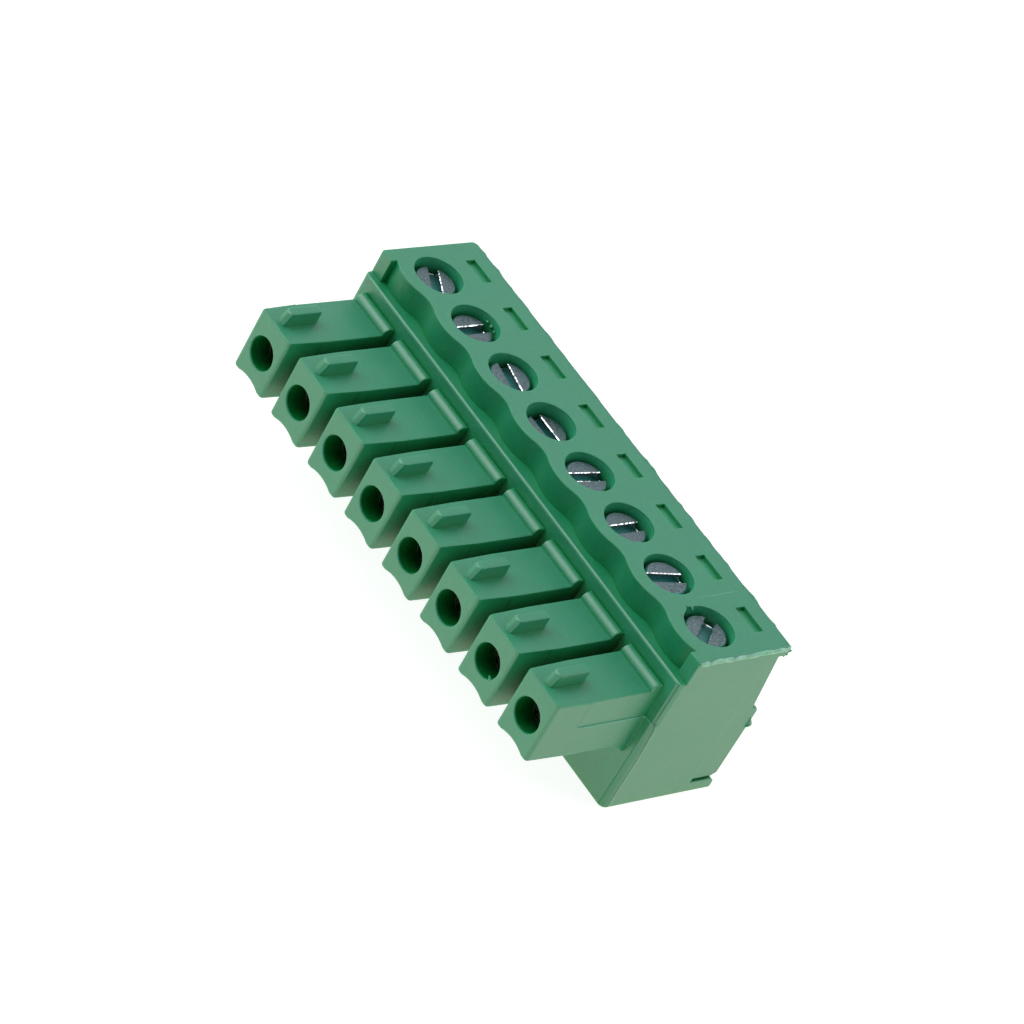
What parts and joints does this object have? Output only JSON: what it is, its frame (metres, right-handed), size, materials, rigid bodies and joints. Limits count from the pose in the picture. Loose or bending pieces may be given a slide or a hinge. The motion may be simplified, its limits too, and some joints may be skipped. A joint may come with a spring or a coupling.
{
  "type": "pluggable terminal block",
  "caption": "Pluggable screw terminal block: a moulded row of socket fingers with coding ribs, a scalloped screw deck, rising wire clamps and stamped contacts.",
  "frame": {"origin": "centre of the footprint's box, on the face that the block rests on", "axes": "+X along the row, towards the last pole; -Y the way the socket fingers point; +Z the way the screws face"},
  "size_m": [0.0312, 0.015, 0.0109],
  "materials": {
    "moulding": "moulded satin",
    "plated_screw": "zinc plated",
    "clamp_strip": "zinc plated",
    "contact_strip": "tin plated"
  },
  "bodies": {
    "block": {"housing": "moulding", "contact_1": "contact_strip", "contact_2": "contact_strip", "contact_3": "contact_strip", "contact_4": "contact_strip", "contact_5": "contact_strip", "contact_6": "contact_strip", "contact_7": "contact_strip", "contact_8": "contact_strip"},
    "screw_1": {"screw_1": "plated_screw"},
    "cage_1": {"cage_1": "clamp_strip"},
    "screw_2": {"screw_2": "plated_screw"},
    "cage_2": {"cage_2": "clamp_strip"},
    "screw_3": {"screw_3": "plated_screw"},
    "cage_3": {"cage_3": "clamp_strip"},
    "screw_4": {"screw_4": "plated_screw"},
    "cage_4": {"cage_4": "clamp_strip"},
    "screw_5": {"screw_5": "plated_screw"},
    "cage_5": {"cage_5": "clamp_strip"},
    "screw_6": {"screw_6": "plated_screw"},
    "cage_6": {"cage_6": "clamp_strip"},
    "screw_7": {"screw_7": "plated_screw"},
    "cage_7": {"cage_7": "clamp_strip"},
    "screw_8": {"screw_8": "plated_screw"},
    "cage_8": {"cage_8": "clamp_strip"}
  },
  "joints": [
    {"name": "screw_1_turn", "type": "hinge", "parent": "block", "child": "screw_1", "pos_m": [-0.01333, 0.00258, 0.00935], "axis": [0, 0, -1], "range_deg": [0, 1350]},
    {"name": "cage_1_rise", "type": "slide", "parent": "block", "child": "cage_1", "axis": [0, 0, 1], "range_m": [0, 0.0015]},
    {"name": "screw_2_turn", "type": "hinge", "parent": "block", "child": "screw_2", "pos_m": [-0.00953, 0.00258, 0.00935], "axis": [0, 0, -1], "range_deg": [0, 1350]},
    {"name": "cage_2_rise", "type": "slide", "parent": "block", "child": "cage_2", "axis": [0, 0, 1], "range_m": [0, 0.0015]},
    {"name": "screw_3_turn", "type": "hinge", "parent": "block", "child": "screw_3", "pos_m": [-0.00571, 0.00258, 0.00935], "axis": [0, 0, -1], "range_deg": [0, 1350]},
    {"name": "cage_3_rise", "type": "slide", "parent": "block", "child": "cage_3", "axis": [0, 0, 1], "range_m": [0, 0.0015]},
    {"name": "screw_4_turn", "type": "hinge", "parent": "block", "child": "screw_4", "pos_m": [-0.00191, 0.00258, 0.00935], "axis": [0, 0, -1], "range_deg": [0, 1350]},
    {"name": "cage_4_rise", "type": "slide", "parent": "block", "child": "cage_4", "axis": [0, 0, 1], "range_m": [0, 0.0015]},
    {"name": "screw_5_turn", "type": "hinge", "parent": "block", "child": "screw_5", "pos_m": [0.00191, 0.00258, 0.00935], "axis": [0, 0, -1], "range_deg": [0, 1350]},
    {"name": "cage_5_rise", "type": "slide", "parent": "block", "child": "cage_5", "axis": [0, 0, 1], "range_m": [0, 0.0015]},
    {"name": "screw_6_turn", "type": "hinge", "parent": "block", "child": "screw_6", "pos_m": [0.00571, 0.00258, 0.00935], "axis": [0, 0, -1], "range_deg": [0, 1350]},
    {"name": "cage_6_rise", "type": "slide", "parent": "block", "child": "cage_6", "axis": [0, 0, 1], "range_m": [0, 0.0015]},
    {"name": "screw_7_turn", "type": "hinge", "parent": "block", "child": "screw_7", "pos_m": [0.00953, 0.00258, 0.00935], "axis": [0, 0, -1], "range_deg": [0, 1350]},
    {"name": "cage_7_rise", "type": "slide", "parent": "block", "child": "cage_7", "axis": [0, 0, 1], "range_m": [0, 0.0015]},
    {"name": "screw_8_turn", "type": "hinge", "parent": "block", "child": "screw_8", "pos_m": [0.01333, 0.00258, 0.00935], "axis": [0, 0, -1], "range_deg": [0, 1350]},
    {"name": "cage_8_rise", "type": "slide", "parent": "block", "child": "cage_8", "axis": [0, 0, 1], "range_m": [0, 0.0015]}
  ],
  "couplings": [
    {"joint": "screw_1_turn", "follows": "cage_1_rise", "rad_per_m": 15708},
    {"joint": "screw_2_turn", "follows": "cage_2_rise", "rad_per_m": 15708},
    {"joint": "screw_3_turn", "follows": "cage_3_rise", "rad_per_m": 15708},
    {"joint": "screw_4_turn", "follows": "cage_4_rise", "rad_per_m": 15708},
    {"joint": "screw_5_turn", "follows": "cage_5_rise", "rad_per_m": 15708},
    {"joint": "screw_6_turn", "follows": "cage_6_rise", "rad_per_m": 15708},
    {"joint": "screw_7_turn", "follows": "cage_7_rise", "rad_per_m": 15708},
    {"joint": "screw_8_turn", "follows": "cage_8_rise", "rad_per_m": 15708}
  ]
}
